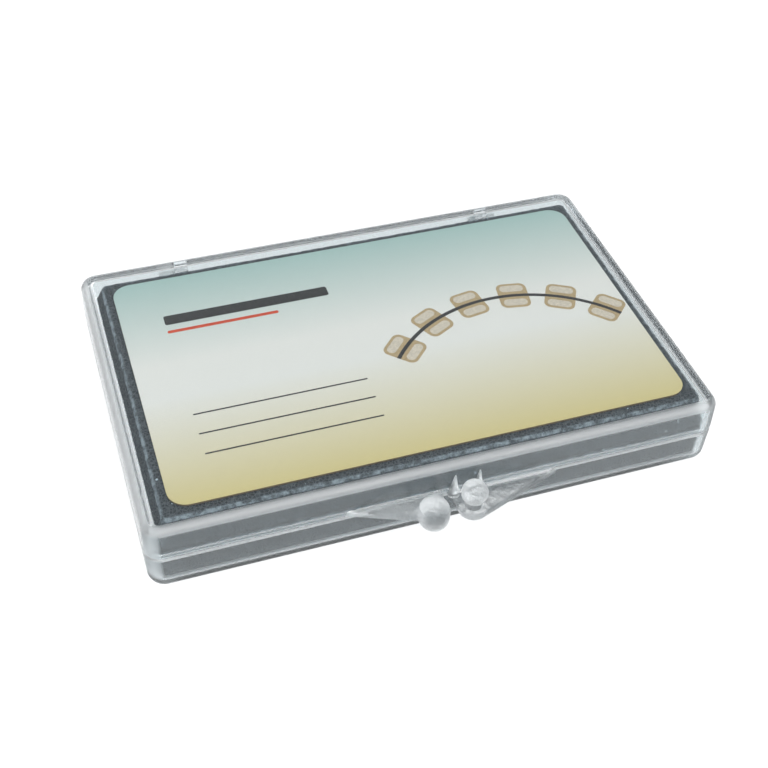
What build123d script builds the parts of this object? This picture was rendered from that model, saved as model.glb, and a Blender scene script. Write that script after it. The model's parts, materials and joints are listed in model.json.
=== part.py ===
from build123d import *
from math import radians, sqrt, tan
import os

# Clear moulded box with a hinged lid, a printed card under the lid and two dark foam pads.
# Frame: origin at the centre of the underside, +X to the right, the latch tabs at the front (-Y),
# the hinge at the back (+Y), +Z up. Lengths are millimetres, angles are degrees.

# Overall form of the closed box
box_width = 98.0
box_depth = 63.8
box_height = 14.0
lid_height = 6.4
corner_radius = 3.0
top_edge_radius = 1.5
bottom_edge_radius = 2.4
draft_angle = 1.7

# Walls and the lapped rim: the base's lip rises inside the lid's skirt
wall = 1.6
floor_thickness = 1.4
top_thickness = 1.4
inner_edge_radius = 0.7
lip_thickness = 0.5
lip_height = 0.4
lip_clearance = 0.15
rim_gap = 0.1
rim_edge_radius = 0.45

# Latch tabs: a tapering wing plate on the front wall, ending in a bead for the finger
wing_thickness = 1.4
wing_edge_radius = 0.4
bead_clearance = 0.5
lid_wing_tip = -17.2
lid_bead_x = -3.6
lid_bead_radius = 2.6
lid_bead_drop = 3.2
lid_bead_rise = 3.0
base_wing_tip = 19.0
base_wing_end_radius = 2.5
base_bead_x = 3.1
base_bead_radius = 2.2
base_neck_radius = 1.5
base_bead_rise = 5.0

# Two claw-shaped guides on the lid's front wall, just inside the sides of the base's bead
guide_inset = 0.1
guide_radius = 1.0
guide_foot = 0.35
guide_lean = 0.3
guide_tip_radius = 0.1
guide_drop = 2.2

# Hinge: two lugs on each half, the base's with stub pins that turn in the lid's lugs
knuckle_radius = 1.5
knuckle_clearance = 0.3
pin_radius = 0.7
pin_clearance = 0.06
pin_end_gap = 0.2
lug_width = 2.4
lug_side_gap = 0.2
lid_lug_x = 28.9
lid_lug_drop = 2.2
base_lug_bottom = 3.2

# Card and foam pads, which fit inside the walls
card_side_gap = 2.9
card_end_gap = 3.3
card_thickness = 0.35
card_corner_radius = 3.2
card_x = 0.75
card_y = 0.25
stack_gap = 0.1
lid_pad_side_gap = 1.35
lid_pad_end_gap = 1.65
lid_pad_x = 0.75
lid_pad_y = 0.35
lid_pad_clearance = 0.4
base_pad_clearance = 0.3
base_pad_lip_drop = 0.5
pad_gap = 0.4
pad_corner_radius = 1.0

# Sizes that follow from the ones above
front_wall = -box_depth / 2
back_wall = box_depth / 2
parting_height = box_height - lid_height
lid_rim = parting_height + rim_gap
ceiling = box_height - top_thickness
lip_top = parting_height + lip_height
cavity_width = box_width - 2 * wall
cavity_depth = box_depth - 2 * wall
cavity_corner = corner_radius - wall
lip_width = cavity_width + 2 * lip_thickness
lip_depth = cavity_depth + 2 * lip_thickness
lip_corner = cavity_corner + lip_thickness
skirt = wall - lip_thickness - lip_clearance
root_depth = skirt / 2
tab_reach = lid_bead_radius + bead_clearance
bead_y = front_wall - tab_reach
lid_bead_low = parting_height - lid_bead_drop
lid_bead_high = parting_height + lid_bead_rise
base_wing_low = parting_height - wing_thickness
base_bead_high = parting_height + base_bead_rise
guide_spacing = 2 * (base_bead_radius - guide_inset)
guide_top = box_height - guide_drop
guide_tip_y = front_wall + (guide_top - lid_rim) * tan(radians(draft_angle))
hinge_offset = knuckle_radius + knuckle_clearance
hinge_y = back_wall + hinge_offset
hinge_z = parting_height
lid_lug_top = box_height - lid_lug_drop
base_lug_x = lid_lug_x + lug_width + lug_side_gap
bore_radius = pin_radius + pin_clearance
pin_length = lug_side_gap + lug_width - pin_end_gap
card_width = cavity_width - 2 * card_side_gap
card_depth = cavity_depth - 2 * card_end_gap
card_top = ceiling - stack_gap
lid_pad_width = cavity_width - 2 * lid_pad_side_gap
lid_pad_depth = cavity_depth - 2 * lid_pad_end_gap
lid_pad_top = card_top - card_thickness - stack_gap
base_pad_top = lip_top - base_pad_lip_drop
lid_pad_bottom = base_pad_top + pad_gap
base_pad_bottom = floor_thickness + stack_gap


def facing_down(height):
    """Plane at a height whose sketches are extruded towards the floor."""
    return Plane(origin=(0, 0, height), x_dir=(1, 0, 0), z_dir=(0, 0, -1))


def wing_outline(low, tip_x, bead_x, end_radius):
    """Plan of a tapering plate that runs from the front wall out to the bead."""
    root_end = bead_x + end_radius if tip_x < bead_x else bead_x - end_radius
    with BuildSketch(Plane.XY.offset(low)) as outline:
        with Locations((bead_x, bead_y)):
            Circle(end_radius)
        with Locations(((tip_x + root_end) / 2, front_wall + root_depth / 2)):
            Rectangle(abs(root_end - tip_x), root_depth)
        make_hull()
    return outline.sketch


def free_edges(tab):
    """Level edges of a wing plate that stand clear of the front wall."""
    return tab.edges().filter_by(Plane.XY).filter_by(lambda edge: edge.center().Y < front_wall)


def bead_profile(x, radius, low, high):
    """Half section of an upright post with a half-ball at each end."""
    with BuildSketch(Plane(origin=(x, bead_y, low), x_dir=(1, 0, 0), z_dir=(0, -1, 0))) as profile:
        with BuildLine():
            Line((0, 0), (0, high - low))
            RadiusArc((0, high - low), (radius, high - low - radius), radius)
            Line((radius, high - low - radius), (radius, radius))
            RadiusArc((radius, radius), (0, 0), radius)
        make_face()
    return profile.sketch


def ball_profile(x, radius, neck_radius, low, high):
    """Half section of a ball that stands on a neck."""
    ball_drop = radius + sqrt(radius**2 - neck_radius**2)
    with BuildSketch(Plane(origin=(x, bead_y, low), x_dir=(1, 0, 0), z_dir=(0, -1, 0))) as profile:
        with BuildLine():
            Line((0, 0), (0, high - low))
            ThreePointArc(
                (0, high - low), (radius, high - low - radius), (neck_radius, high - low - ball_drop)
            )
            Line((neck_radius, high - low - ball_drop), (neck_radius, 0))
            Line((neck_radius, 0), (0, 0))
        make_face()
    return profile.sketch


def lug_profile(start_x, root_low, root_high, cut_low):
    """Side view of a hinge lug: a knuckle round the hinge axis on a web that runs to the wall."""
    with BuildSketch(Plane.YZ.offset(start_x)) as profile:
        with Locations((hinge_y, hinge_z)):
            Circle(knuckle_radius)
        with Locations((back_wall - root_depth / 2, (root_low + root_high) / 2)):
            Rectangle(root_depth, root_high - root_low)
        make_hull()
        with Locations((hinge_y - box_depth / 2, cut_low + box_height / 2)):
            Rectangle(box_depth, box_height, mode=Mode.SUBTRACT)
        with Locations((hinge_y, hinge_z)):
            Circle(knuckle_radius)
    return profile.sketch


# Latch tab of the lid: its bead reaches down past the rim, so a finger can push it up
with BuildPart() as lid_tab:
    outline = wing_outline(lid_rim, lid_wing_tip, lid_bead_x, lid_bead_radius - wing_edge_radius)
    extrude(outline, amount=wing_thickness)
    fillet(free_edges(lid_tab), wing_edge_radius)
    profile = bead_profile(lid_bead_x, lid_bead_radius, lid_bead_low, lid_bead_high)
    revolve(profile, axis=Axis((lid_bead_x, bead_y, 0), (0, 0, 1)))

# Latch tab of the base: its ball stands up in front of the lid, so a finger can push it down
with BuildPart() as base_tab:
    outline = wing_outline(base_wing_low, base_wing_tip, base_bead_x, base_wing_end_radius)
    extrude(outline, amount=wing_thickness)
    fillet(free_edges(base_tab), wing_edge_radius)
    profile = ball_profile(
        base_bead_x, base_bead_radius, base_neck_radius, base_wing_low, base_bead_high
    )
    revolve(profile, axis=Axis((base_bead_x, bead_y, 0), (0, 0, 1)))

# Lid: drafted shell with a skirt that laps the base's lip
with BuildPart() as lid:
    with BuildSketch(Plane.XY.offset(lid_rim)):
        RectangleRounded(box_width, box_depth, corner_radius)
    extrude(amount=box_height - lid_rim, taper=draft_angle)
    fillet(lid.faces().sort_by(Axis.Z)[-1].edges(), top_edge_radius)
    fillet(lid.faces().sort_by(Axis.Z)[0].edges(), rim_edge_radius)
    add(lid_tab.part)
    for guide_x in (base_bead_x - guide_spacing / 2, base_bead_x + guide_spacing / 2):
        with BuildSketch(Plane.XY.offset(lid_rim)):
            with Locations((guide_x - guide_lean, front_wall - guide_foot)):
                Circle(guide_radius)
        with BuildSketch(Plane.XY.offset(guide_top)):
            with Locations((guide_x, guide_tip_y)):
                Circle(guide_tip_radius)
        loft()
    for start_x in (lid_lug_x, -lid_lug_x - lug_width):
        profile = lug_profile(start_x, lid_rim, lid_lug_top, lid_rim - box_height)
        extrude(profile, amount=lug_width)
    with BuildSketch(Plane.YZ):
        with Locations((hinge_y, hinge_z)):
            Circle(bore_radius)
    extrude(amount=box_width, both=True, mode=Mode.SUBTRACT)
    with BuildSketch(Plane.XY.offset(lid_rim)):
        RectangleRounded(
            lip_width + 2 * lip_clearance,
            lip_depth + 2 * lip_clearance,
            lip_corner + lip_clearance,
        )
    extrude(amount=lip_top + lip_clearance - lid_rim, mode=Mode.SUBTRACT)
    with BuildSketch(Plane.XY.offset(lid_rim)):
        RectangleRounded(cavity_width, cavity_depth, cavity_corner)
    extrude(amount=ceiling - lid_rim, taper=draft_angle, mode=Mode.SUBTRACT)
    top_faces = lid.faces().filter_by(Plane.XY).sort_by(SortBy.AREA)[-2:]
    fillet(top_faces.sort_by(Axis.Z)[0].edges(), inner_edge_radius)
lid.part.label = "lid"

# Base: drafted tray with a lip above its rim and the stub pins of the hinge
with BuildPart() as base:
    with BuildSketch(facing_down(parting_height)):
        RectangleRounded(box_width, box_depth, corner_radius)
    extrude(amount=parting_height, taper=draft_angle)
    fillet(base.faces().sort_by(Axis.Z)[0].edges(), bottom_edge_radius)
    fillet(base.faces().sort_by(Axis.Z)[-1].edges(), rim_edge_radius)
    add(base_tab.part)
    for start_x in (base_lug_x, -base_lug_x - lug_width):
        profile = lug_profile(start_x, base_lug_bottom, parting_height, parting_height)
        extrude(profile, amount=lug_width)
    for start_x in (base_lug_x - pin_length, -base_lug_x):
        with BuildSketch(Plane.YZ.offset(start_x)):
            with Locations((hinge_y, hinge_z)):
                Circle(pin_radius)
        extrude(amount=pin_length)
    with BuildSketch(Plane.XY.offset(parting_height)):
        RectangleRounded(lip_width, lip_depth, lip_corner)
    extrude(amount=lip_height)
    with BuildSketch(facing_down(lip_top)):
        RectangleRounded(cavity_width, cavity_depth, cavity_corner)
    extrude(amount=lip_top - floor_thickness, taper=draft_angle, mode=Mode.SUBTRACT)
    floor_faces = base.faces().filter_by(Plane.XY).sort_by(SortBy.AREA)[-2:]
    fillet(floor_faces.sort_by(Axis.Z)[-1].edges(), inner_edge_radius)
base.part.label = "base"

# Printed card, loose against the lid's ceiling
with BuildPart() as card:
    with BuildSketch(Plane.XY.offset(card_top - card_thickness)):
        with Locations((card_x, card_y)):
            RectangleRounded(card_width, card_depth, card_corner_radius)
    extrude(amount=card_thickness)
card.part.label = "card"

# Foam pad behind the card, squeezed so that its sides spread towards the walls
with BuildPart() as lid_pad:
    with BuildSketch(Plane.XY.offset(lid_pad_bottom)):
        RectangleRounded(
            cavity_width - 2 * lid_pad_clearance,
            cavity_depth - 2 * lid_pad_clearance,
            pad_corner_radius,
        )
    with BuildSketch(Plane.XY.offset(lid_pad_top)):
        with Locations((lid_pad_x, lid_pad_y)):
            RectangleRounded(lid_pad_width, lid_pad_depth, pad_corner_radius)
    loft(ruled=True)
lid_pad.part.label = "lid_pad"

# Foam pad that fills the base up to just under its lip
with BuildPart() as base_pad:
    with BuildSketch(facing_down(base_pad_top)):
        RectangleRounded(
            cavity_width - 2 * base_pad_clearance,
            cavity_depth - 2 * base_pad_clearance,
            pad_corner_radius,
        )
    extrude(amount=base_pad_top - base_pad_bottom, taper=draft_angle)
    fillet(base_pad.faces().sort_by(Axis.Z)[0].edges(), inner_edge_radius)
base_pad.part.label = "base_pad"

os.makedirs("parts", exist_ok=True)
export_step(lid.part, "parts/lid.step")
export_step(base.part, "parts/base.step")
export_step(card.part, "parts/card.step")
export_step(lid_pad.part, "parts/lid_pad.step")
export_step(base_pad.part, "parts/base_pad.step")
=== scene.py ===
"""Looks of a clear hinged box: polished plastic shell, printed card under the lid and dark foam pads."""

import json
import math

import bmesh
import bpy
from bpy.props import FloatProperty, FloatVectorProperty, PointerProperty
from bpy.types import Operator, Panel, PropertyGroup
from mathutils import Matrix, Vector, noise


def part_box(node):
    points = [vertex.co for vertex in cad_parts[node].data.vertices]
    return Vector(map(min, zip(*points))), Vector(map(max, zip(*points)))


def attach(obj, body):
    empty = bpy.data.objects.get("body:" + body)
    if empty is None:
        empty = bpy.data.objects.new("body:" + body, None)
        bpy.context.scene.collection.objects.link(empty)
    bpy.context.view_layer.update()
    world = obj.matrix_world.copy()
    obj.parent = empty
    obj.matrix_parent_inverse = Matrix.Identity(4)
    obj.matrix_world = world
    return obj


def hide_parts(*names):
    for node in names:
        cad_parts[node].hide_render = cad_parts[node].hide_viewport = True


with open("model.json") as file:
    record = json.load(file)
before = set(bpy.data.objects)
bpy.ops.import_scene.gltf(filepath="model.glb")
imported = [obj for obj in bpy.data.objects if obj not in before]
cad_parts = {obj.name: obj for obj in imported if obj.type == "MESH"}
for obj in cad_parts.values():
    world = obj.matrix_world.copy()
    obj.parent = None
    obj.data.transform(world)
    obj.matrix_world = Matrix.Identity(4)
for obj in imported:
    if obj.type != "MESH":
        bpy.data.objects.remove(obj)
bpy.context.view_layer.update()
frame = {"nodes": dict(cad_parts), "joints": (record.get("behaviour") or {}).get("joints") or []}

bl_info = {
    "name": "Clear hinged box",
    "version": (1, 0, 0),
    "blender": (4, 5, 0),
    "location": "View3D > Sidebar > Clear box",
    "description": "Dresses a packed clear box with plastic, a printed card, foam pads and a studio",
    "category": "Object",
}

MM = 0.001
WHITE = (1.0, 1.0, 1.0, 1.0)

# Places on the shell, and the widths over which one finish passes into the next
LID_PAD_TO_FRONT = 2.0 * MM
LIP_HEIGHT = 0.4 * MM
RIM_EDGE = 0.45 * MM
TAB_START = 0.2 * MM
TAB_FULL = 0.6 * MM
BEAD_BLEND = 1.5 * MM
FOOT_BLEND = 0.5 * MM

# Ranges of a normal's upward part, 1 on a flat top and 0 on a wall, over which the plastic's looks change
WALL_TO_FLAT = (0.93, 0.995)
UPRIGHT_TO_LEVEL = (0.2, 0.6)
WALL_TO_EDGE = (0.1, 0.35)
EDGE_TO_FLAT = (0.975, 0.998)
EDGE_FADE = (0.72, 0.88)
UNDER_TO_SIDE = (-0.2, 0.3)
FLAT_FACE = 0.97
# The same for the product of a normal's two level parts, which is largest on upright corners
WALL_TO_CORNER = (0.1, 0.3)

# Wear and unevenness of the plastic; each set of scratches has an angle and a density
EDGE_FADED = 0.4
SCRATCHES = ((0.5, 1500.0), (-0.9, 1900.0))
SCRATCH_STRETCH = 0.02
SCRATCH_CUT = (0.69, 0.74)
SHELL_DUST = {"Density": 420.0, "Size": 0.12}
BARE_CELLS = 0.6
RIPPLE_SCALE = 220.0
LUMP_SCALE = 800.0
SHADOW_TINT = (0.9, 0.92, 0.93, 1)

# Paper and ink
FIBRE_SCALE = 2600.0
GRAIN_RANGE = (0.3, 0.7)
FACES_UP = 0.5
BARE_FIBRE = (0.35, 0.75)
BARE_SHARE = 0.05
CARD_ROUGHNESS = (0.38, 0.5)
CARD_RELIEF = 0.006 * MM
THIN_INK = (0.4, 0.8)
THIN_INK_LIGHT = 1.25
THIN_INK_LIFT = 0.01
INK_ROUGHNESS = (0.4, 0.52)
INK_RELIEF = 0.004 * MM

# Layout of the print, from the card's middle
RULE_X = -22 * MM
RULE_WIDTH = 30 * MM
HEADING_Y = 15.5 * MM
HEADING_DEPTH = 2.4 * MM
HEADING_CORNER = 0.4 * MM
FINE_RULES_Y = (-8.5 * MM, -13 * MM, -17.5 * MM)
FINE_RULE_DEPTH = 0.28 * MM
FINE_RULE_CORNER = 0.1 * MM
ACCENT_X = -27 * MM
ACCENT_Y = 12.4 * MM
ACCENT_WIDTH = 20 * MM
ACCENT_DEPTH = 0.7 * MM
ACCENT_CORNER = 0.3 * MM
ARCH_X = 21 * MM
ARCH_Y = -22 * MM
ARCH_RADIUS = 27 * MM
ARCH_START = math.radians(38)
ARCH_END = math.radians(142)
ARCH_STEPS = 48
WIRE_WIDTH = 0.7 * MM
PAD_COUNT = 6
PAD_START = math.radians(44)
PAD_SWEEP = math.radians(92)
PAD_WIDTH = 5.6 * MM
PAD_DEPTH = 6.6 * MM
PAD_CORNER = 1.3 * MM
SHINE_OFFSET = 1.9 * MM
SHINE_WIDTH = 4.4 * MM
SHINE_DEPTH = 1.7 * MM
SHINE_CORNER = 0.8 * MM
CORNER_STEPS = 8
INK_BOTTOM = 0.01 * MM
INK_TOP = 0.03 * MM
INK_LIFT = 0.012 * MM

# Foam: its cells with painted shade in their pits, the painted highlight on its rounded edges and its
# uneven cut
CELL_WALL = (0.02, 0.22)
CELL_SHADE = 0.55
CELL_DEPTH = 0.12 * MM
CELL_ROUGHNESS = 0.7
PIT_ROUGHNESS = 0.95
FOAM_SPECULAR = 0.25
FOAM_GRAIN_SCALE = 900.0
FOAM_GRAIN_DEPTH = 0.05 * MM
FOAM_LINT = {"Density": 520.0, "Size": 0.14}
LINT_LIGHT = 5
# Painted highlight on the foam's rounded cut edges: the slopes where it lies, its uneven grain, its least
# share and how much lighter it paints the foam
SIDE_TO_EDGE = (0.42, 0.55)
EDGE_TO_TOP = (0.85, 0.97)
EDGE_HIGHLIGHT_GRAIN = (0.4, 0.65)
EDGE_HIGHLIGHT_LEAST = 0.15
EDGE_HIGHLIGHT_GAIN = 3.5
HOLLOW_POWER = 7
DIP_SCALE = 0.45
DIP_SHARE = 0.45
PIT_SCALE = 0.9
PIT_SHARE = 0.55
PIT_SHIFT = Vector((17, 5, 3))

# Studio, with places in metres and the photograph's lens in its own pixels
FLOOR_HALF = 3.0
FLOOR_DROP = 0.05 * MM
FLOOR_ROUGHNESS = 0.7
KEY_PLACE = (0.1, -0.7, 1.1)
RIM_PLACE = (-0.6, 0.84, 0.7)
PHOTO_PIXELS = 768
FOCAL_PIXELS = 1241.5
SENSOR_WIDTH = 36.0
NEAR_CLIP = 5 * MM


class PlasticSettings(PropertyGroup):
    """Look of the clear moulded shell."""

    tint: FloatVectorProperty(
        name="Tint", description="Colour of light that passes through the flat top and floor",
        subtype="COLOR", size=4, min=0, max=1, default=(0.985, 0.99, 0.99, 1))
    wall_tint: FloatVectorProperty(
        name="Wall tint", description="Colour of light that passes through the walls",
        subtype="COLOR", size=4, min=0, max=1, default=(0.84, 0.905, 0.925, 1))
    tab_tint: FloatVectorProperty(
        name="Tab tint", description="Colour of light that passes through the finger tabs",
        subtype="COLOR", size=4, min=0, max=1, default=(0.95, 0.96, 0.96, 1))
    body: FloatVectorProperty(
        name="Body colour", description="Cast that long paths through the plastic take on",
        subtype="COLOR", size=4, min=0, max=1, default=(0.2, 0.45, 0.6, 1))
    body_density: FloatProperty(
        name="Body density", description="Strength of that cast, for each metre", default=12.0)
    ior: FloatProperty(
        name="Index of refraction", description="Bending of light in polystyrene", default=1.59)
    polish: FloatProperty(
        name="Polished roughness", description="Roughness of the untouched surface",
        subtype="FACTOR", min=0, max=1, default=0.03)
    matt: FloatProperty(
        name="Wall roughness", description="Roughness of the drafted walls and of the joint",
        subtype="FACTOR", min=0, max=1, default=0.2)
    edge: FloatProperty(
        name="Edge roughness", description="Roughness of the rounded edges, which rub most",
        subtype="FACTOR", min=0, max=1, default=0.45)
    edge_gloss: FloatProperty(
        name="Edge gloss", description="Index of refraction of the worn skin on the upper edges",
        default=2.1)
    foot: FloatProperty(
        name="Foot roughness", description="Roughness of the rounded foot, which slides on tables",
        subtype="FACTOR", min=0, max=1, default=0.6)
    foot_height: FloatProperty(
        name="Foot height", description="Height to which that rounding reaches",
        unit="LENGTH", default=2.5 * MM)
    grip: FloatProperty(
        name="Tab roughness", description="Roughness of the finger tabs",
        subtype="FACTOR", min=0, max=1, default=0.5)
    bead: FloatProperty(
        name="Bead roughness", description="Roughness of the beads and claws between the tabs",
        subtype="FACTOR", min=0, max=1, default=0.35)
    bead_reach: FloatProperty(
        name="Bead reach", description="Distance of the outer bead's far side from the box's middle",
        unit="LENGTH", default=6.0 * MM)
    rubbed: FloatProperty(
        name="Rubbed roughness", description="Roughness where it is scratched or dusty",
        subtype="FACTOR", min=0, max=1, default=0.22)
    ripple: FloatProperty(
        name="Moulding ripple", description="Height of the slow waves left by moulding",
        unit="LENGTH", default=0.012 * MM)
    lump: FloatProperty(
        name="Tab lumps", description="Height of the uneven sink marks on the finger tabs",
        unit="LENGTH", default=0.4 * MM)
    scratch: FloatProperty(
        name="Scratch depth", description="Depth of the hairline scratches",
        unit="LENGTH", default=0.002 * MM)


class CardSettings(PropertyGroup):
    """Print on the card."""

    back: FloatVectorProperty(
        name="Back colour", description="Teal along the back edge",
        subtype="COLOR", size=4, min=0, max=1, default=(0.45, 0.64, 0.595, 1))
    middle: FloatVectorProperty(
        name="Middle colour", description="White band across the middle",
        subtype="COLOR", size=4, min=0, max=1, default=(0.965, 0.95, 0.885, 1))
    front: FloatVectorProperty(
        name="Front colour", description="Khaki along the front edge",
        subtype="COLOR", size=4, min=0, max=1, default=(0.77, 0.655, 0.295, 1))
    band_start: FloatProperty(
        name="White from", description="Where the white band starts, as a share from front to back",
        subtype="FACTOR", min=0, max=1, default=0.43)
    band_end: FloatProperty(
        name="White to", description="Where the white band ends, as a share from front to back",
        subtype="FACTOR", min=0, max=1, default=0.58)
    core: FloatVectorProperty(
        name="Core colour", description="Brown board on the cut edges and the back",
        subtype="COLOR", size=4, min=0, max=1, default=(0.2, 0.15, 0.09, 1))
    ink: FloatVectorProperty(
        name="Ink", description="Charcoal ink of the rules",
        subtype="COLOR", size=4, min=0, max=1, default=(0.02, 0.021, 0.022, 1))
    accent: FloatVectorProperty(
        name="Accent", description="Vermilion ink of the accent rule",
        subtype="COLOR", size=4, min=0, max=1, default=(0.68, 0.07, 0.02, 1))
    bronze: FloatVectorProperty(
        name="Bronze", description="Tan ink of the pads in the drawing",
        subtype="COLOR", size=4, min=0, max=1, default=(0.5, 0.37, 0.2, 1))
    shine: FloatVectorProperty(
        name="Shine", description="Pale ink of the lit part of the pads",
        subtype="COLOR", size=4, min=0, max=1, default=(0.7, 0.62, 0.5, 1))


class FoamSettings(PropertyGroup):
    """Look of the foam pads."""

    colour: FloatVectorProperty(
        name="Colour", description="Charcoal of the foam's cell walls",
        subtype="COLOR", size=4, min=0, max=1, default=(0.128, 0.152, 0.167, 1))
    # Painted shade: the darker colour painted into the open cells' pits, where shade falls
    pit: FloatVectorProperty(
        name="Pit colour", description="Darkness inside the open cells",
        subtype="COLOR", size=4, min=0, max=1, default=(0.047, 0.057, 0.064, 1))
    cell: FloatProperty(
        name="Cell size", description="Width of one open cell", unit="LENGTH", default=0.55 * MM)
    relief: FloatProperty(
        name="Relief", description="How far the cut surface dips between the cells",
        unit="LENGTH", default=0.14 * MM)
    pull: FloatProperty(
        name="Pull", description="How far the cut sides draw in between the corners",
        unit="LENGTH", default=0.12 * MM)
    step: FloatProperty(
        name="Mesh step", description="Spacing of the pads' mesh", unit="LENGTH", default=0.75 * MM)
    edge: FloatProperty(
        name="Edge radius", description="Rounding of the cut edges", unit="LENGTH", default=0.3 * MM)
    corner: FloatProperty(
        name="Corner radius", description="Rounding of the upright corners",
        unit="LENGTH", default=1.0 * MM)
    draft: FloatProperty(
        name="Draft", description="Lean of the base pad's sides, which follow the moulded walls",
        unit="ROTATION", default=math.radians(1.7))
    left: FloatProperty(
        name="Left squeeze", description="How far the lid pad's top stands in at the left",
        unit="LENGTH", default=1.7 * MM)
    right: FloatProperty(
        name="Right squeeze", description="How far the lid pad's top stands in at the right",
        unit="LENGTH", default=0.2 * MM)
    front: FloatProperty(
        name="Front squeeze", description="How far the lid pad's top stands in at the front",
        unit="LENGTH", default=1.6 * MM)
    back: FloatProperty(
        name="Back squeeze", description="How far the lid pad's top stands in at the back",
        unit="LENGTH", default=0.9 * MM)
    # Strength of the painted highlight on the rounded cut edges
    edge_highlight: FloatProperty(
        name="Frayed edges", description="How pale the cut edges are",
        subtype="FACTOR", min=0, max=1, default=0.8)


class StageSettings(PropertyGroup):
    """Floor, light and camera."""

    floor: FloatVectorProperty(
        name="Floor", description="Pale table top", subtype="COLOR", size=4, min=0, max=1,
        default=(0.45, 0.45, 0.45, 1))
    glow: FloatProperty(
        name="Background level", description="Share of white that the floor adds for the camera",
        subtype="FACTOR", min=0, max=1, default=0.7)
    glow_seen: FloatProperty(
        name="Level in plastic", description="Share of white that it adds in reflections and refractions",
        subtype="FACTOR", min=0, max=1, default=0.64)
    sky: FloatProperty(name="Room light", description="Strength of the even light", default=0.27)
    walls: FloatProperty(
        name="Wall light", description="Strength of the light from the room's pale walls", default=0.95)
    wall_top: FloatProperty(
        name="Wall top", description="Height to which those walls reach, as the sine of the elevation",
        subtype="FACTOR", min=0, max=1, default=0.4)
    sky_colour: FloatVectorProperty(
        name="Room colour", description="Colour of the even light", subtype="COLOR", size=4,
        min=0, max=1, default=(0.97, 0.99, 1.0, 1))
    key_power: FloatProperty(
        name="Key power", description="Power of the large lamp above the front",
        unit="POWER", default=20.0)
    key_size: FloatProperty(
        name="Key size", description="Side of the large lamp", unit="LENGTH", default=1.8)
    rim_power: FloatProperty(
        name="Rim power", description="Power of the lamp behind the left corner",
        unit="POWER", default=4.4)
    rim_size: FloatProperty(
        name="Rim size", description="Side of the lamp behind", unit="LENGTH", default=0.5)
    azimuth: FloatProperty(
        name="Azimuth", description="Camera's turn round the box", subtype="ANGLE",
        default=math.radians(-20.23))
    elevation: FloatProperty(
        name="Elevation", description="Camera's height angle", subtype="ANGLE",
        default=math.radians(44.366))
    roll: FloatProperty(
        name="Roll", description="Camera's tilt", subtype="ANGLE", default=math.radians(2.61))
    distance: FloatProperty(
        name="Distance", description="Camera to target", unit="LENGTH", default=228.7 * MM)
    target: FloatVectorProperty(
        name="Target", description="Point on the table that the camera looks at",
        subtype="XYZ", unit="LENGTH", size=3, default=(0.691 * MM, 2.366 * MM, 0))


class BoxSettings(PropertyGroup):
    """All settings of the clear box."""

    plastic: PointerProperty(type=PlasticSettings)
    card: PointerProperty(type=CardSettings)
    foam: PointerProperty(type=FoamSettings)
    stage: PointerProperty(type=StageSettings)


def add_node(tree, kind, **values):
    """New node of a kind, with its properties or its input sockets set by name."""
    made = tree.nodes.new(kind)
    for name, value in values.items():
        socket = made.inputs.get(name.replace("_", " "))
        if hasattr(made, name) and socket is None:
            setattr(made, name, value)
        else:
            socket.default_value = value
    return made


def feed(tree, value, socket):
    """Links an output to an input, or sets the input to a number or a colour."""
    if isinstance(value, bpy.types.NodeSocket):
        tree.links.new(value, socket)
    else:
        socket.default_value = value


def math_node(tree, operation, first, second=0.0):
    """Math node between outputs or numbers; returns its result."""
    made = add_node(tree, "ShaderNodeMath", operation=operation)
    feed(tree, first, made.inputs[0])
    feed(tree, second, made.inputs[1])
    return made.outputs[0]


def multiply(tree, first, *others):
    """Product of outputs and numbers."""
    for other in others:
        first = math_node(tree, "MULTIPLY", first, other)
    return first


def largest(tree, first, *others):
    """Largest of outputs and numbers."""
    for other in others:
        first = math_node(tree, "MAXIMUM", first, other)
    return first


def spread(tree, value, limits, new_low, new_high):
    """Map Range node that takes a value from one range to another, clamped."""
    made = add_node(tree, "ShaderNodeMapRange")
    tree.links.new(value, made.inputs["Value"])
    names = ("From Min", "From Max", "To Min", "To Max")
    for name, number in zip(names, (*limits, new_low, new_high)):
        made.inputs[name].default_value = number
    return made.outputs["Result"]


def mix_colour(tree, mask, first, second):
    """Colour mix by a mask between outputs or colours; returns its result."""
    made = add_node(tree, "ShaderNodeMix", data_type="RGBA")
    tree.links.new(mask, made.inputs["Factor"])
    colour_inputs = [socket for socket in made.inputs if socket.type == "RGBA"]
    for socket, value in zip(colour_inputs, (first, second)):
        feed(tree, value, socket)
    return next(socket for socket in made.outputs if socket.type == "RGBA")


def mix_value(tree, mask, first, second):
    """Mix by a mask between outputs or numbers; returns its result."""
    made = add_node(tree, "ShaderNodeMix", data_type="FLOAT")
    tree.links.new(mask, made.inputs[0])
    feed(tree, first, made.inputs[2])
    feed(tree, second, made.inputs[3])
    return made.outputs[0]


def new_material(name):
    """Material with a Principled shader; returns the material, its tree and the shader."""
    material = bpy.data.materials.new(name)
    material.use_nodes = True
    tree = material.node_tree
    return material, tree, tree.nodes["Principled BSDF"]


def new_group(name, numbers, result):
    """Node group with a vector and some numbers as inputs; returns it, its inputs and its output."""
    group = bpy.data.node_groups.new(name, "ShaderNodeTree")
    group.interface.new_socket("Vector", in_out="INPUT", socket_type="NodeSocketVector")
    for number in numbers:
        group.interface.new_socket(number, in_out="INPUT", socket_type="NodeSocketFloat")
    group.interface.new_socket(result, in_out="OUTPUT", socket_type="NodeSocketFloat")
    source = group.nodes.new("NodeGroupInput")
    end = group.nodes.new("NodeGroupOutput")
    return group, source.outputs, end.inputs[result]


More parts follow.
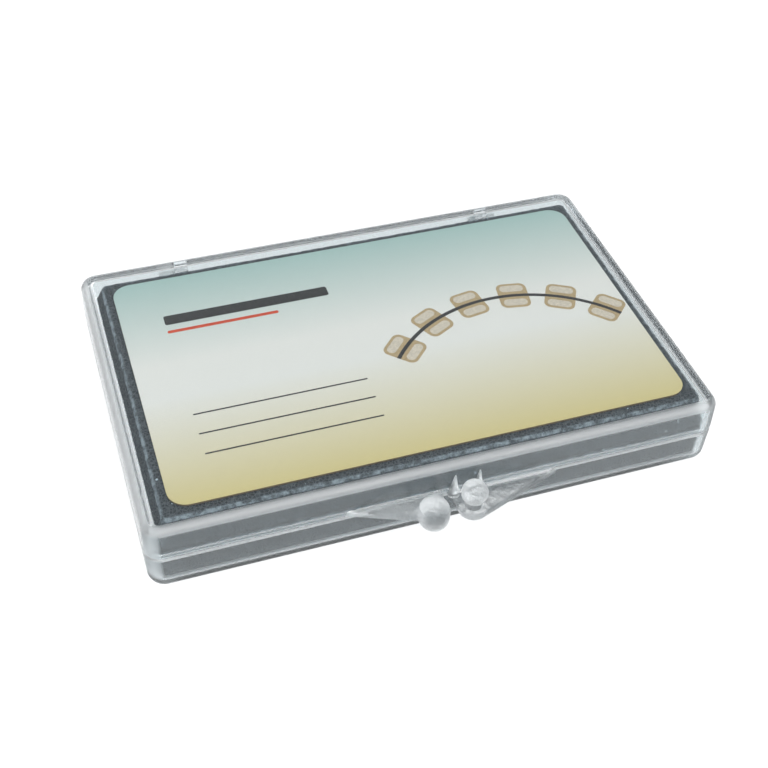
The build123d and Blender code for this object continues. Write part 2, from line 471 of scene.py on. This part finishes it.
def speck_group():
    """Node group: scattered specks of dust and lint as a mask."""
    name = "Dust specks"
    if name in bpy.data.node_groups:
        return bpy.data.node_groups[name]
    group, source, mask = new_group(name, ("Density", "Size"), "Mask")
    cells = add_node(group, "ShaderNodeTexVoronoi", voronoi_dimensions="3D")
    group.links.new(source["Vector"], cells.inputs["Vector"])
    group.links.new(source["Density"], cells.inputs["Scale"])
    draw = add_node(group, "ShaderNodeSeparateColor")
    group.links.new(cells.outputs["Color"], draw.inputs["Color"])
    reach = multiply(group, source["Size"], draw.outputs["Red"])
    near = math_node(group, "LESS_THAN", cells.outputs["Distance"], reach)
    chosen = math_node(group, "GREATER_THAN", draw.outputs["Green"], BARE_CELLS)
    group.links.new(multiply(group, near, chosen), mask)
    return group


def grain_group():
    """Node group: fine uneven grain as a height."""
    name = "Fine grain"
    if name in bpy.data.node_groups:
        return bpy.data.node_groups[name]
    group, source, height = new_group(name, ("Scale",), "Height")
    waves = add_node(group, "ShaderNodeTexNoise", Detail=3.0, Roughness=0.55)
    group.links.new(source["Vector"], waves.inputs["Vector"])
    group.links.new(source["Scale"], waves.inputs["Scale"])
    group.links.new(waves.outputs[0], height)
    return group


def place_group(tree, group, **values):
    """Puts a node group in a material, fed by object coordinates, with its own values."""
    made = tree.nodes.new("ShaderNodeGroup")
    made.node_tree = group
    for name, value in values.items():
        made.inputs[name].default_value = value
    tree.links.new(box_frame(tree)["Object"], made.inputs["Vector"])
    return made.outputs[0]


def box_frame(tree):
    """Outputs of a material's one Texture Coordinate node; Object is the box's own frame in metres."""
    found = tree.nodes.get("Box frame")
    if found is None:
        found = tree.nodes.new("ShaderNodeTexCoord")
        found.name = "Box frame"
    return found.outputs


def box_place(tree):
    """Place of the surface in the box's own frame, as X, Y and Z."""
    parts = add_node(tree, "ShaderNodeSeparateXYZ")
    tree.links.new(box_frame(tree)["Object"], parts.inputs[0])
    return parts.outputs


def box_facing(tree):
    """The way the surface faces in the box's own frame: right, back and up."""
    parts = add_node(tree, "ShaderNodeSeparateXYZ")
    tree.links.new(box_frame(tree)["Normal"], parts.inputs[0])
    return parts.outputs


def bump(tree, shader, *heights):
    """Adds heights, each with its own depth in metres, to the shader's normal, one on another."""
    normal = None
    for height, depth in heights:
        made = add_node(tree, "ShaderNodeBump", Strength=1.0, Distance=depth)
        tree.links.new(height, made.inputs["Height"])
        if normal is not None:
            tree.links.new(normal, made.inputs["Normal"])
        normal = made.outputs["Normal"]
    tree.links.new(normal, shader.inputs["Normal"])


def hairlines(tree, angle, density):
    """Mask of long hairline scratches at an angle."""
    turned = add_node(tree, "ShaderNodeMapping")
    turned.inputs["Rotation"].default_value = (0, 0, angle)
    turned.inputs["Scale"].default_value = (density, density * SCRATCH_STRETCH, density)
    tree.links.new(box_frame(tree)["Object"], turned.inputs["Vector"])
    lines = add_node(tree, "ShaderNodeTexNoise", Scale=1.0, Detail=2.0, Distortion=0.15)
    tree.links.new(turned.outputs[0], lines.inputs["Vector"])
    return spread(tree, lines.outputs[0], SCRATCH_CUT, 0, 1)


def lighter(colour, factor, lift=0.0):
    """A colour made lighter by a factor and a lift, fully opaque."""
    return [min(1.0, channel * factor + lift) for channel in colour[:3]] + [1.0]


def shell_edges(tree, right, back, slope):
    """Masks of the shell's rounded upper edges, and of these with the upright corners."""
    rise = spread(tree, slope, WALL_TO_EDGE, 0, 1)
    upper = multiply(tree, rise, spread(tree, slope, EDGE_TO_FLAT, 1, 0))
    turned = math_node(tree, "ABSOLUTE", multiply(tree, right, back))
    return upper, largest(tree, upper, spread(tree, turned, WALL_TO_CORNER, 0, 1))


def shell_roughness(tree, settings, level, height, edges, rim):
    """Roughness of the two halves: polished flats, softer walls and joint, rubbed edges and foot."""
    walls = spread(tree, level, WALL_TO_FLAT, settings.matt, settings.polish)
    low_rim, high_rim = rim
    above = math_node(tree, "GREATER_THAN", height, low_rim)
    below = math_node(tree, "LESS_THAN", height, high_rim)
    joint = multiply(tree, above, below, settings.matt)
    foot_range = (settings.foot_height, settings.foot_height + FOOT_BLEND)
    low_down = spread(tree, height, foot_range, settings.foot, 0)
    foot = multiply(tree, low_down, math_node(tree, "LESS_THAN", level, FLAT_FACE))
    return largest(tree, walls, joint, multiply(tree, edges, settings.edge), foot)


def let_light_in(tree, shader):
    """Lets shadow and diffuse rays straight through, so that what lies inside stays lit."""
    path = tree.nodes.new("ShaderNodeLightPath")
    unseen = largest(tree, path.outputs["Is Shadow Ray"], path.outputs["Is Diffuse Ray"])
    through = add_node(tree, "ShaderNodeBsdfTransparent", Color=SHADOW_TINT)
    blend = tree.nodes.new("ShaderNodeMixShader")
    tree.links.new(unseen, blend.inputs[0])
    tree.links.new(shader.outputs[0], blend.inputs[1])
    tree.links.new(through.outputs[0], blend.inputs[2])
    tree.links.new(blend.outputs[0], tree.nodes["Material Output"].inputs["Surface"])


def clear_plastic(settings, front_wall, rim):
    """Clear polystyrene: polished flats, softer walls, matt finger tabs, scratches and a little dust."""
    material, tree, shader = new_material("clear_polystyrene")
    scratches = largest(tree, *[hairlines(tree, angle, density) for angle, density in SCRATCHES])
    dust = place_group(tree, speck_group(), **SHELL_DUST)
    right, back, slope = box_facing(tree)
    place = box_place(tree)
    level = math_node(tree, "ABSOLUTE", slope)
    upper_edges, edges = shell_edges(tree, right, back, slope)
    tabs = spread(tree, place["Y"], (front_wall - TAB_FULL, front_wall - TAB_START), 1, 0)
    bead_range = (settings.bead_reach, settings.bead_reach + BEAD_BLEND)
    beads = spread(tree, math_node(tree, "ABSOLUTE", place["X"]), bead_range, 1, 0)

    shell = shell_roughness(tree, settings, level, place["Z"], edges, rim)
    finish = mix_value(tree, tabs, shell, mix_value(tree, beads, settings.grip, settings.bead))
    rubbed = multiply(tree, largest(tree, scratches, dust), settings.rubbed)
    tree.links.new(largest(tree, finish, rubbed), shader.inputs["Roughness"])

    upright = spread(tree, level, UPRIGHT_TO_LEVEL, 1, 0)
    passed = mix_colour(tree, upright, settings.tint, settings.wall_tint)
    tree.links.new(mix_colour(tree, tabs, passed, settings.tab_tint), shader.inputs["Base Color"])
    shader.inputs["Transmission Weight"].default_value = 1.0
    shader.inputs["IOR"].default_value = settings.ior

    worn = multiply(tree, upper_edges, spread(tree, slope, EDGE_FADE, 1, EDGE_FADED))
    under_beads = multiply(tree, beads, spread(tree, slope, UNDER_TO_SIDE, 1, 0))
    tree.links.new(mix_value(tree, tabs, worn, under_beads), shader.inputs["Coat Weight"])
    shader.inputs["Coat IOR"].default_value = settings.edge_gloss
    shader.inputs["Coat Roughness"].default_value = settings.edge

    ripple = place_group(tree, grain_group(), Scale=RIPPLE_SCALE)
    lumps = multiply(tree, place_group(tree, grain_group(), Scale=LUMP_SCALE), tabs)
    bump(tree, shader, (ripple, settings.ripple), (lumps, settings.lump), (scratches, settings.scratch))
    let_light_in(tree, shader)
    body = add_node(
        tree, "ShaderNodeVolumeAbsorption", Color=settings.body, Density=settings.body_density)
    tree.links.new(body.outputs[0], tree.nodes["Material Output"].inputs["Volume"])
    return material


def printed_card(settings, low, high):
    """Satin card whose print fades from back to front, with bare board on its cut edges."""
    material, tree, shader = new_material("printed_card")
    ramp = tree.nodes.new("ShaderNodeValToRGB")
    ramp.color_ramp.elements[0].color = settings.front
    ramp.color_ramp.elements[1].color = settings.back
    for share in (settings.band_start, settings.band_end):
        ramp.color_ramp.elements.new(share).color = settings.middle
    tree.links.new(spread(tree, box_place(tree)["Y"], (low.y, high.y), 0, 1), ramp.inputs[0])
    printed = math_node(tree, "GREATER_THAN", box_facing(tree)["Z"], FACES_UP)
    inked = mix_colour(tree, printed, settings.core, ramp.outputs[0])
    fibre = place_group(tree, grain_group(), Scale=FIBRE_SCALE)
    bare = spread(tree, fibre, BARE_FIBRE, 0, BARE_SHARE)
    tree.links.new(mix_colour(tree, bare, inked, settings.core), shader.inputs["Base Color"])
    tree.links.new(spread(tree, fibre, GRAIN_RANGE, *CARD_ROUGHNESS), shader.inputs["Roughness"])
    bump(tree, shader, (fibre, CARD_RELIEF))
    return material


def print_ink(name, colour):
    """Satin ink on the card, a little uneven as print is."""
    material, tree, shader = new_material(name)
    fibre = place_group(tree, grain_group(), Scale=FIBRE_SCALE)
    thin = spread(tree, fibre, THIN_INK, 0, 1)
    thin_colour = lighter(colour, THIN_INK_LIGHT, THIN_INK_LIFT)
    tree.links.new(mix_colour(tree, thin, colour, thin_colour), shader.inputs["Base Color"])
    tree.links.new(spread(tree, fibre, GRAIN_RANGE, *INK_ROUGHNESS), shader.inputs["Roughness"])
    bump(tree, shader, (fibre, INK_RELIEF))
    return material


def charcoal_foam(settings):
    """Matt open-cell foam with painted shade in its pits, a painted highlight on its rounded edges and a
    little lint.
    """
    material, tree, shader = new_material("charcoal_foam")
    cells = add_node(
        tree, "ShaderNodeTexVoronoi", feature="DISTANCE_TO_EDGE", Scale=1 / settings.cell)
    tree.links.new(box_frame(tree)["Object"], cells.inputs["Vector"])
    walls = spread(tree, cells.outputs["Distance"], CELL_WALL, 1, 0)
    grain = place_group(tree, grain_group(), Scale=FOAM_GRAIN_SCALE)
    pit_shade_mask = multiply(tree, walls, spread(tree, grain, GRAIN_RANGE, CELL_SHADE, 1))
    # Painted shade: the pits between the cell walls take the darker pit colour
    foam = mix_colour(tree, pit_shade_mask, settings.pit, settings.colour)

    # Painted highlight: the rounded cut edges, between side and top, are painted lighter, unevenly with
    # the grain
    level = math_node(tree, "ABSOLUTE", box_facing(tree)["Z"])
    rise = spread(tree, level, SIDE_TO_EDGE, 0, 1)
    fall = spread(tree, level, EDGE_TO_TOP, 1, 0)
    uneven = spread(tree, grain, EDGE_HIGHLIGHT_GRAIN, EDGE_HIGHLIGHT_LEAST * settings.edge_highlight, settings.edge_highlight)
    edge_highlight = multiply(tree, rise, fall, uneven)
    highlighted_foam = mix_colour(tree, edge_highlight, foam, lighter(settings.colour, EDGE_HIGHLIGHT_GAIN))

    lint = place_group(tree, speck_group(), **FOAM_LINT)
    dusty = mix_colour(tree, lint, highlighted_foam, lighter(settings.colour, LINT_LIGHT))
    tree.links.new(dusty, shader.inputs["Base Color"])
    matt = spread(tree, walls, (0, 1), PIT_ROUGHNESS, CELL_ROUGHNESS)
    tree.links.new(matt, shader.inputs["Roughness"])
    shader.inputs["Specular IOR Level"].default_value = FOAM_SPECULAR
    bump(tree, shader, (walls, CELL_DEPTH), (grain, FOAM_GRAIN_DEPTH))
    return material


def wear(obj, material):
    """Gives an object one material in all its slots."""
    if not obj.material_slots:
        obj.data.materials.append(material)
    for place in obj.material_slots:
        place.material = material


def new_piece(name, mesh_source, material, body):
    """Turns a bmesh into a named piece that rides on a body."""
    mesh = bpy.data.meshes.new(name)
    mesh_source.normal_update()
    mesh_source.to_mesh(mesh)
    mesh_source.free()
    piece = bpy.data.objects.new(name, mesh)
    bpy.context.scene.collection.objects.link(piece)
    mesh.materials.append(material)
    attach(piece, body)
    return piece


def box_lattice(low, high, step):
    """Closed surface of a box as an even mesh of quads."""
    size = high - low
    counts = [max(2, round(length / step)) for length in size]
    form = bmesh.new()
    found = {}

    def corner(place):
        if place not in found:
            shares = [index / count for index, count in zip(place, counts)]
            found[place] = form.verts.new([low[k] + size[k] * shares[k] for k in range(3)])
        return found[place]

    for axis in range(3):
        first, second = (axis + 1) % 3, (axis + 2) % 3
        for end in (0, counts[axis]):
            for i in range(counts[first]):
                for j in range(counts[second]):
                    ring = []
                    for di, dj in ((0, 0), (1, 0), (1, 1), (0, 1)):
                        place = [0, 0, 0]
                        place[axis], place[first], place[second] = end, i + di, j + dj
                        ring.append(corner(tuple(place)))
                    form.faces.new(ring if end else ring[::-1])
    return form


def drawn_in(point, low, high, margin, axes):
    """Point moved into a box that is smaller by a margin, along its first axes."""
    return Vector([max(low[k] + margin, min(high[k] - margin, point[k])) for k in range(axes)])


def rounded_point(settings, point, low, high):
    """Point of a box moved onto its rounded edges and upright corners, and the way out there."""
    inner = drawn_in(point, low, high, settings.edge, 3)
    out = point - inner
    away = out.normalized() if out.length else Vector((0, 0, 1))
    rounded = inner + away * settings.edge if out.length else point.copy()
    hub = drawn_in(rounded, low, high, settings.corner, 2)
    turn = rounded.xy - hub
    if turn.x and turn.y:
        rounded.xy = hub + turn.normalized() * max(abs(turn.x), abs(turn.y))
    return rounded, away


def foam_form(settings, low, high, foot, head):
    """Cut foam block: soft edges, sides that draw in and dips between the cells.

    Foot and head are how far its bottom and top stand in from the box, at the left and front
    and at the right and back.
    """
    form = box_lattice(low, high, settings.step)
    size = high - low
    for vert in form.verts:
        point, away = rounded_point(settings, vert.co, low, high)
        shares = [(point[k] - low[k]) / size[k] for k in range(3)]
        for k, other in ((0, 1), (1, 0)):
            side = 2 * shares[k] - 1
            hollow = settings.pull * (1 - (2 * shares[other] - 1) ** 2)
            near, far = [
                bottom[k] + (top[k] - bottom[k]) * shares[2] for bottom, top in zip(foot, head)]
            point[k] = low[k] + near + shares[k] * (size[k] - near - far)
            point[k] -= side * abs(side) ** HOLLOW_POWER * hollow
        spot = point / settings.cell
        dip = noise.noise(spot * DIP_SCALE) * 0.5 + 0.5
        pit = max(0.0, noise.noise(spot * PIT_SCALE + PIT_SHIFT))
        vert.co = point - away * settings.relief * (DIP_SHARE * dip + PIT_SHARE * pit)
    for face in form.faces:
        face.smooth = True
    return form


def direction(angle):
    """Unit vector at an angle in the plane of the card."""
    return Vector((math.cos(angle), math.sin(angle)))


def rounded_bar(centre, width, depth, radius, turn=0.0):
    """Outline of a bar with round corners, turned about its middle."""
    points = []
    spin = Matrix.Rotation(turn, 2)
    for quarter, (sx, sy) in enumerate(((1, 1), (-1, 1), (-1, -1), (1, -1))):
        hub = Vector((sx * (width / 2 - radius), sy * (depth / 2 - radius)))
        for k in range(CORNER_STEPS + 1):
            rim = hub + radius * direction(math.pi / 2 * (quarter + k / CORNER_STEPS))
            points.append(centre + spin @ rim)
    return points


def arch_strip(centre, radius, start, end, width):
    """Outline of a strip that follows an arch."""
    angles = [start + (end - start) * k / ARCH_STEPS for k in range(ARCH_STEPS + 1)]
    outer = [centre + (radius + width / 2) * direction(angle) for angle in angles]
    inner = [centre + (radius - width / 2) * direction(angle) for angle in angles]
    return outer + inner[::-1]


def ink_layer(outlines, low, high):
    """Thin closed layers of ink with these outlines."""
    form = bmesh.new()
    for points in outlines:
        lower = [form.verts.new((p.x, p.y, low)) for p in points]
        upper = [form.verts.new((p.x, p.y, high)) for p in points]
        form.faces.new(lower[::-1])
        form.faces.new(upper)
        for k in range(len(points)):
            after = (k + 1) % len(points)
            form.faces.new((lower[k], lower[after], upper[after], upper[k]))
    bmesh.ops.recalc_face_normals(form, faces=form.faces)
    return form


def rule_outlines(middle):
    """Outlines of the heading bar with the fine rules, and of the accent rule."""
    heading = middle + Vector((RULE_X, HEADING_Y))
    rules = [rounded_bar(heading, RULE_WIDTH, HEADING_DEPTH, HEADING_CORNER)]
    for y in FINE_RULES_Y:
        line = middle + Vector((RULE_X, y))
        rules.append(rounded_bar(line, RULE_WIDTH, FINE_RULE_DEPTH, FINE_RULE_CORNER))
    accent = middle + Vector((ACCENT_X, ACCENT_Y))
    return rules, [rounded_bar(accent, ACCENT_WIDTH, ACCENT_DEPTH, ACCENT_CORNER)]


def arch_outlines(middle):
    """Outlines of the arched wire, of the pads along it and of their lit parts."""
    hub = middle + Vector((ARCH_X, ARCH_Y))
    wire = [arch_strip(hub, ARCH_RADIUS, ARCH_START, ARCH_END, WIRE_WIDTH)]
    pads, shines = [], []
    for k in range(PAD_COUNT):
        angle = PAD_START + PAD_SWEEP * k / (PAD_COUNT - 1)
        away = direction(angle)
        turn = angle - math.pi / 2
        centre = hub + ARCH_RADIUS * away
        pads.append(rounded_bar(centre, PAD_WIDTH, PAD_DEPTH, PAD_CORNER, turn))
        for side in (-1, 1):
            lit = centre + side * SHINE_OFFSET * away
            shines.append(rounded_bar(lit, SHINE_WIDTH, SHINE_DEPTH, SHINE_CORNER, turn))
    return wire, pads, shines


class CLEARBOX_OT_shell(Operator):
    """Gives the lid and the base their clear plastic"""

    bl_idname = "clearbox.shell"
    bl_label = "Clear shell"

    def execute(self, context):
        front_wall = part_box("lid_pad")[0].y - LID_PAD_TO_FRONT
        seam = frame["joints"][0]["pos_m"][2]
        rim = (seam - RIM_EDGE, seam + LIP_HEIGHT + RIM_EDGE)
        plastic = clear_plastic(context.scene.clear_box.plastic, front_wall, rim)
        for name in ("lid", "base"):
            wear(frame["nodes"][name], plastic)
        return {"FINISHED"}


class CLEARBOX_OT_card(Operator):
    """Prints the card under the lid"""

    bl_idname = "clearbox.card"
    bl_label = "Printed card"

    def execute(self, context):
        settings = context.scene.clear_box.card
        low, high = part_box("card")
        wear(frame["nodes"]["card"], printed_card(settings, low, high))
        middle = ((low + high) / 2).xy
        rules, accent = rule_outlines(middle)
        wire, pads, shines = arch_outlines(middle)
        layers = (
            ("card_rules", rules, "charcoal_ink", settings.ink, 0),
            ("card_accent", accent, "vermilion_ink", settings.accent, 0),
            ("card_pads", pads, "bronze_ink", settings.bronze, 0),
            ("card_wire", wire, "charcoal_line_ink", settings.ink, 1),
            ("card_shines", shines, "pale_ink", settings.shine, 2),
        )
        for name, outlines, finish, colour, layer in layers:
            top = high.z + INK_TOP + layer * INK_LIFT
            form = ink_layer(outlines, high.z + INK_BOTTOM, top)
            new_piece(name, form, print_ink(finish, colour), "lid")
        return {"FINISHED"}


class CLEARBOX_OT_foam(Operator):
    """Cuts the two foam pads"""

    bl_idname = "clearbox.foam"
    bl_label = "Foam pads"

    def execute(self, context):
        settings = context.scene.clear_box.foam
        foam = charcoal_foam(settings)
        flush = ((0.0, 0.0), (0.0, 0.0))
        low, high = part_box("base_pad")
        lean = (high.z - low.z) * math.tan(settings.draft)
        drafted = ((lean, lean), (lean, lean))
        squeezed = ((settings.left, settings.front), (settings.right, settings.back))
        for node, body, foot, head in (
                ("lid_pad", "lid", flush, squeezed), ("base_pad", "base", drafted, flush)):
            low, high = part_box(node)
            form = foam_form(settings, low, high, foot, head)
            pad = new_piece(node + "_foam", form, foam, body)
            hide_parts(node)
        return {"FINISHED"}


def floor_finish(settings):
    """Pale table that shows white to the camera, in reflections and through the plastic."""
    material, tree, shader = new_material("pale_table")
    shader.inputs["Base Color"].default_value = settings.floor
    shader.inputs["Roughness"].default_value = FLOOR_ROUGHNESS
    path = tree.nodes.new("ShaderNodeLightPath")
    seen = multiply(tree, path.outputs["Is Glossy Ray"], settings.glow_seen)
    level = mix_value(tree, path.outputs["Is Camera Ray"], seen, settings.glow)
    glow = tree.nodes.new("ShaderNodeEmission")
    tree.links.new(level, glow.inputs["Strength"])
    both = tree.nodes.new("ShaderNodeAddShader")
    tree.links.new(shader.outputs[0], both.inputs[0])
    tree.links.new(glow.outputs[0], both.inputs[1])
    tree.links.new(both.outputs[0], tree.nodes["Material Output"].inputs["Surface"])
    return material


def studio_floor(settings):
    """Large flat table top under the box."""
    form = bmesh.new()
    bmesh.ops.create_grid(form, x_segments=2, y_segments=2, size=FLOOR_HALF)
    mesh = bpy.data.meshes.new("studio_floor")
    form.to_mesh(mesh)
    form.free()
    floor = bpy.data.objects.new("studio_floor", mesh)
    floor.location.z = -FLOOR_DROP
    mesh.materials.append(floor_finish(settings))
    bpy.context.scene.collection.objects.link(floor)


def studio_room(settings):
    """Light from all round, stronger low down where pale walls stand; white to the camera."""
    world = bpy.data.worlds.new("studio_room")
    world.use_nodes = True
    tree = world.node_tree
    background = tree.nodes["Background"]
    parts = add_node(tree, "ShaderNodeSeparateXYZ")
    tree.links.new(tree.nodes.new("ShaderNodeTexCoord").outputs["Generated"], parts.inputs[0])
    level = spread(tree, parts.outputs["Z"], (0, settings.wall_top), settings.walls, settings.sky)
    seen = tree.nodes.new("ShaderNodeLightPath").outputs["Is Camera Ray"]
    tree.links.new(mix_colour(tree, seen, settings.sky_colour, WHITE), background.inputs["Color"])
    tree.links.new(mix_value(tree, seen, level, 1.0), background.inputs["Strength"])
    return world


def studio_lamp(name, place, power, size):
    """Square soft lamp that faces the middle of the box's underside."""
    lamp = bpy.data.lights.new(name, "AREA")
    lamp.shape = "SQUARE"
    lamp.energy = power
    lamp.size = size
    holder = bpy.data.objects.new(name, lamp)
    holder.location = place
    holder.rotation_euler = (-Vector(place)).to_track_quat("-Z", "Y").to_euler()
    bpy.context.scene.collection.objects.link(holder)


def studio_camera(settings):
    """Camera at the photograph's angle, found from the straight edges of the box."""
    flat = math.cos(settings.elevation)
    back = Vector((
        math.sin(settings.azimuth) * flat,
        -math.cos(settings.azimuth) * flat,
        math.sin(settings.elevation)))
    right = (-back).cross(Vector((0, 0, 1))).normalized()
    up = right.cross(-back)
    tilted_right = right * math.cos(settings.roll) + up * math.sin(settings.roll)
    tilted_up = up * math.cos(settings.roll) - right * math.sin(settings.roll)
    lens = bpy.data.cameras.new("studio_camera")
    lens.sensor_width = SENSOR_WIDTH
    lens.lens = FOCAL_PIXELS / PHOTO_PIXELS * SENSOR_WIDTH
    lens.clip_start = NEAR_CLIP
    camera = bpy.data.objects.new("studio_camera", lens)
    turn = Matrix((tilted_right, tilted_up, back)).transposed().to_4x4()
    place = Vector(settings.target) + back * settings.distance
    camera.matrix_world = Matrix.Translation(place) @ turn
    bpy.context.scene.collection.objects.link(camera)
    bpy.context.scene.camera = camera


class CLEARBOX_OT_stage(Operator):
    """Sets up the pale table, the soft light and the camera"""

    bl_idname = "clearbox.stage"
    bl_label = "Studio"

    def execute(self, context):
        settings = context.scene.clear_box.stage
        studio_floor(settings)
        context.scene.world = studio_room(settings)
        studio_lamp("key_lamp", KEY_PLACE, settings.key_power, settings.key_size)
        studio_lamp("rim_lamp", RIM_PLACE, settings.rim_power, settings.rim_size)
        studio_camera(settings)
        context.scene.view_settings.view_transform = "Standard"
        return {"FINISHED"}


class CLEARBOX_PT_panel(Panel):
    """Buttons and settings of the clear box"""

    bl_idname = "CLEARBOX_PT_panel"
    bl_label = "Clear box"
    bl_space_type = "VIEW_3D"
    bl_region_type = "UI"
    bl_category = "Clear box"

    def draw(self, context):
        for operator in OPERATORS:
            self.layout.operator(operator.bl_idname)
        for name in ("plastic", "card", "foam", "stage"):
            group = getattr(context.scene.clear_box, name)
            column = self.layout.column(heading=name.title())
            for setting in group.__annotations__:
                column.prop(group, setting)


OPERATORS = (CLEARBOX_OT_shell, CLEARBOX_OT_card, CLEARBOX_OT_foam, CLEARBOX_OT_stage)
SETTINGS = (PlasticSettings, CardSettings, FoamSettings, StageSettings, BoxSettings)
CLASSES = (*SETTINGS, *OPERATORS, CLEARBOX_PT_panel)


def register():
    """Adds the classes and the scene's settings to Blender."""
    for entry in CLASSES:
        bpy.utils.register_class(entry)
    bpy.types.Scene.clear_box = PointerProperty(type=BoxSettings)


def unregister():
    """Takes them out again."""
    del bpy.types.Scene.clear_box
    for entry in reversed(CLASSES):
        bpy.utils.unregister_class(entry)


def main():
    """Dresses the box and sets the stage."""
    register()
    bpy.ops.clearbox.shell()
    bpy.ops.clearbox.card()
    bpy.ops.clearbox.foam()
    bpy.ops.clearbox.stage()


if __name__ == "__main__":
    main()
